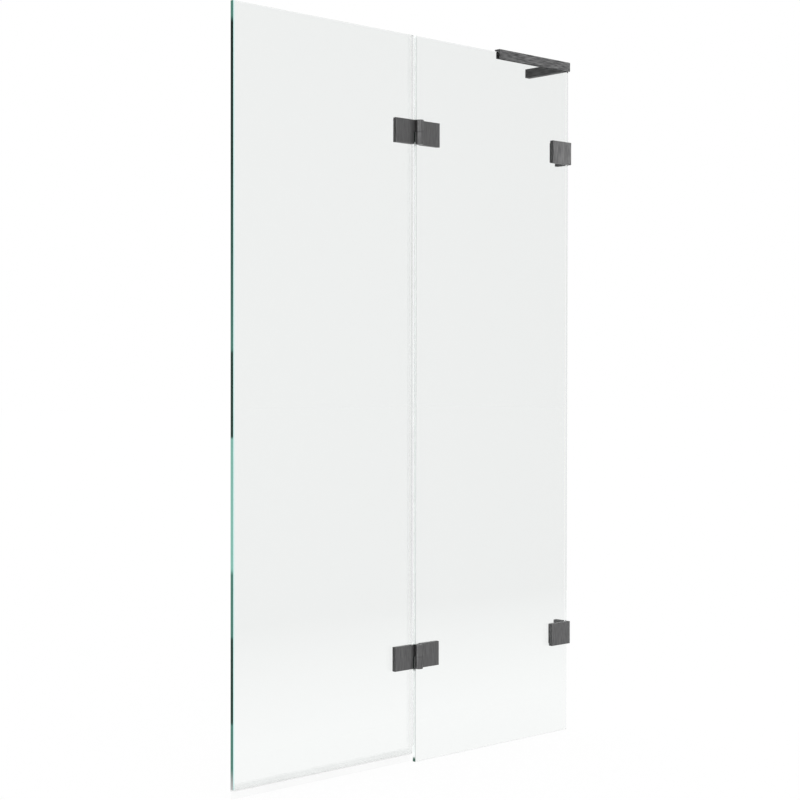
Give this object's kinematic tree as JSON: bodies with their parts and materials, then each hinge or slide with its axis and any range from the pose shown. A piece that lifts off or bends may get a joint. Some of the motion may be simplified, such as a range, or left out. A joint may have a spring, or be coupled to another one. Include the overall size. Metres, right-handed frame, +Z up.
{
  "type": "bath screen",
  "caption": "Frameless clear glass bath screen: a fixed panel clamped to the wall and braced at its top carries a hinged door panel with clear seals, in brushed graphite metal.",
  "frame": {"origin": "the wall end of the fixed panel's bottom edge, in the middle of the glass, where it stands on the bath rim", "axes": "+X along the panels towards the wall, +Y into the bath, square to the glass, on the side of the brace arm, +Z up"},
  "size_m": [0.9495, 0.1467, 1.506],
  "materials": {
    "clear_glass": "clear toughened glass with polished edges",
    "graphite_steel": "brushed, dark graphite coating",
    "screw_steel": "plain stainless",
    "rubber_pad": "matt",
    "bearing_plastic": "natural acetal",
    "clear_seal": "clear flexible plastic"
  },
  "bodies": {
    "fixed_panel": {"arm_grub_screws": "screw_steel", "brace_arm": "graphite_steel", "brace_channel": "graphite_steel", "brace_corner_screw": "screw_steel", "brace_pad": "rubber_pad", "channel_grub_screws": "screw_steel", "clamp_screws": "screw_steel", "clamp_sleeves": "bearing_plastic", "fixed_glass": "clear_glass", "fixed_hinge_screws": "screw_steel", "fixed_hinge_sleeves": "bearing_plastic", "lower_clamp_back_pad": "rubber_pad", "lower_clamp_front_pad": "rubber_pad", "lower_clamp_plate": "graphite_steel", "lower_fixed_back_pad": "rubber_pad", "lower_fixed_back_plate": "graphite_steel", "lower_fixed_front_pad": "rubber_pad", "lower_fixed_leaf": "graphite_steel", "lower_hinge_pin": "screw_steel", "lower_thrust_washer": "bearing_plastic", "lower_wall_bracket": "graphite_steel", "upper_clamp_back_pad": "rubber_pad", "upper_clamp_front_pad": "rubber_pad", "upper_clamp_plate": "graphite_steel", "upper_fixed_back_pad": "rubber_pad", "upper_fixed_back_plate": "graphite_steel", "upper_fixed_front_pad": "rubber_pad", "upper_fixed_leaf": "graphite_steel", "upper_hinge_pin": "screw_steel", "upper_thrust_washer": "bearing_plastic", "upper_wall_bracket": "graphite_steel"},
    "door": {"bottom_edge_seal": "clear_seal", "door_glass": "clear_glass", "door_hinge_screws": "screw_steel", "door_hinge_sleeves": "bearing_plastic", "lower_door_back_pad": "rubber_pad", "lower_door_back_plate": "graphite_steel", "lower_door_front_pad": "rubber_pad", "lower_door_leaf": "graphite_steel", "lower_hinge_bush": "bearing_plastic", "middle_edge_seal": "clear_seal", "sill_seal": "clear_seal", "top_edge_seal": "clear_seal", "upper_door_back_pad": "rubber_pad", "upper_door_back_plate": "graphite_steel", "upper_door_front_pad": "rubber_pad", "upper_door_leaf": "graphite_steel", "upper_hinge_bush": "bearing_plastic"}
  },
  "joints": [
    {"name": "door_swing", "type": "hinge", "parent": "fixed_panel", "child": "door", "pos_m": [-0.47775, -0.0176, 0.7605], "axis": [0, 0, 1], "range_deg": [0, 180]}
  ]
}
